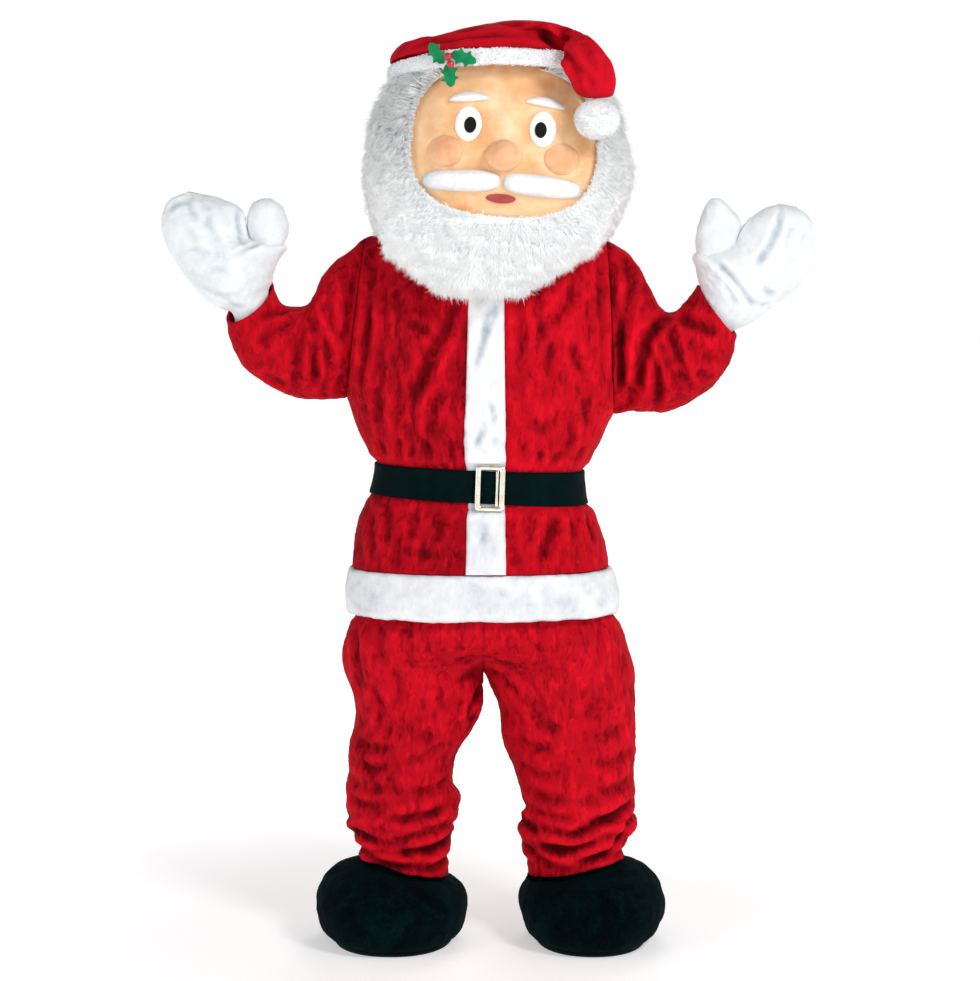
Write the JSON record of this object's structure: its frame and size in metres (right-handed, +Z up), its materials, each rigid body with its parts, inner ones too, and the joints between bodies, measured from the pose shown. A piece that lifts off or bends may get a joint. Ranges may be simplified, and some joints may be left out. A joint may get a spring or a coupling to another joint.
{
  "type": "worn mascot costume with head, jacket, trousers, mittens and boots",
  "caption": "Father Christmas mascot costume as worn: plush head with hat and beard, red jacket with white trim and belt, red trousers, white mittens, round black boots; hollow, arms raised.",
  "frame": {"origin": "point between the wearer's shoulders that carries the costume, 1.470 m above the soles", "axes": "+Z up, the costume faces -Y, +X towards the wearer's left"},
  "size_m": [1.322, 0.5415, 1.912],
  "materials": {
    "red_plush": "crushed short-pile plush with a soft sheen",
    "hat_red": "smooth short-pile plush",
    "white_plush": "white plush trim",
    "white_fur": "long-pile white fur",
    "white_cloth": "thin white brushed cloth",
    "peach_plush": "short-pile peach plush",
    "pink_plush": "short-pile rosy plush",
    "lip_felt": "red felt",
    "belt_vinyl": "smooth black belt vinyl, slightly glossy",
    "buckle_metal": "pale polished metal",
    "boot_plush": "black short-pile plush",
    "boot_sole": "matte black rubber",
    "green_felt": "green felt",
    "berry_red": "red berries",
    "eye_white": "glossy white",
    "pupil_black": "glossy black"
  },
  "bodies": {
    "root": {"jacket_front_r": "red_plush", "jacket_front_l": "red_plush", "jacket_back": "red_plush", "sleeve_r": "red_plush", "sleeve_l": "red_plush", "trouser_front_r": "red_plush", "trouser_back_r": "red_plush", "trouser_front_l": "red_plush", "trouser_back_l": "red_plush", "waistband": "red_plush", "hat_crown": "hat_red", "hem_band": "white_plush", "placket": "white_plush", "hat_band": "white_plush", "pompom": "white_plush", "hair_back": "white_fur", "hair_r": "white_fur", "hair_l": "white_fur", "beard": "white_fur", "moustache_r": "white_fur", "moustache_l": "white_fur", "brow_r": "white_fur", "brow_l": "white_fur", "glove_r_palm": "white_cloth", "glove_r_back": "white_cloth", "glove_r_thumb": "white_cloth", "glove_l_palm": "white_cloth", "glove_l_back": "white_cloth", "glove_l_thumb": "white_cloth", "face_panel": "peach_plush", "nose": "pink_plush", "cheek_r": "pink_plush", "cheek_l": "pink_plush", "lip": "lip_felt", "belt": "belt_vinyl", "buckle_frame": "buckle_metal", "buckle_prong": "buckle_metal", "boot_r_upper": "boot_plush", "boot_l_upper": "boot_plush", "boot_r_sole": "boot_sole", "boot_l_sole": "boot_sole", "holly_leaf_a": "green_felt", "holly_leaf_b": "green_felt", "holly_leaf_c": "green_felt", "berry_a": "berry_red", "berry_b": "berry_red", "eye_r": "eye_white", "eye_l": "eye_white", "pupil_r": "pupil_black", "pupil_l": "pupil_black"}
  },
  "joints": []
}
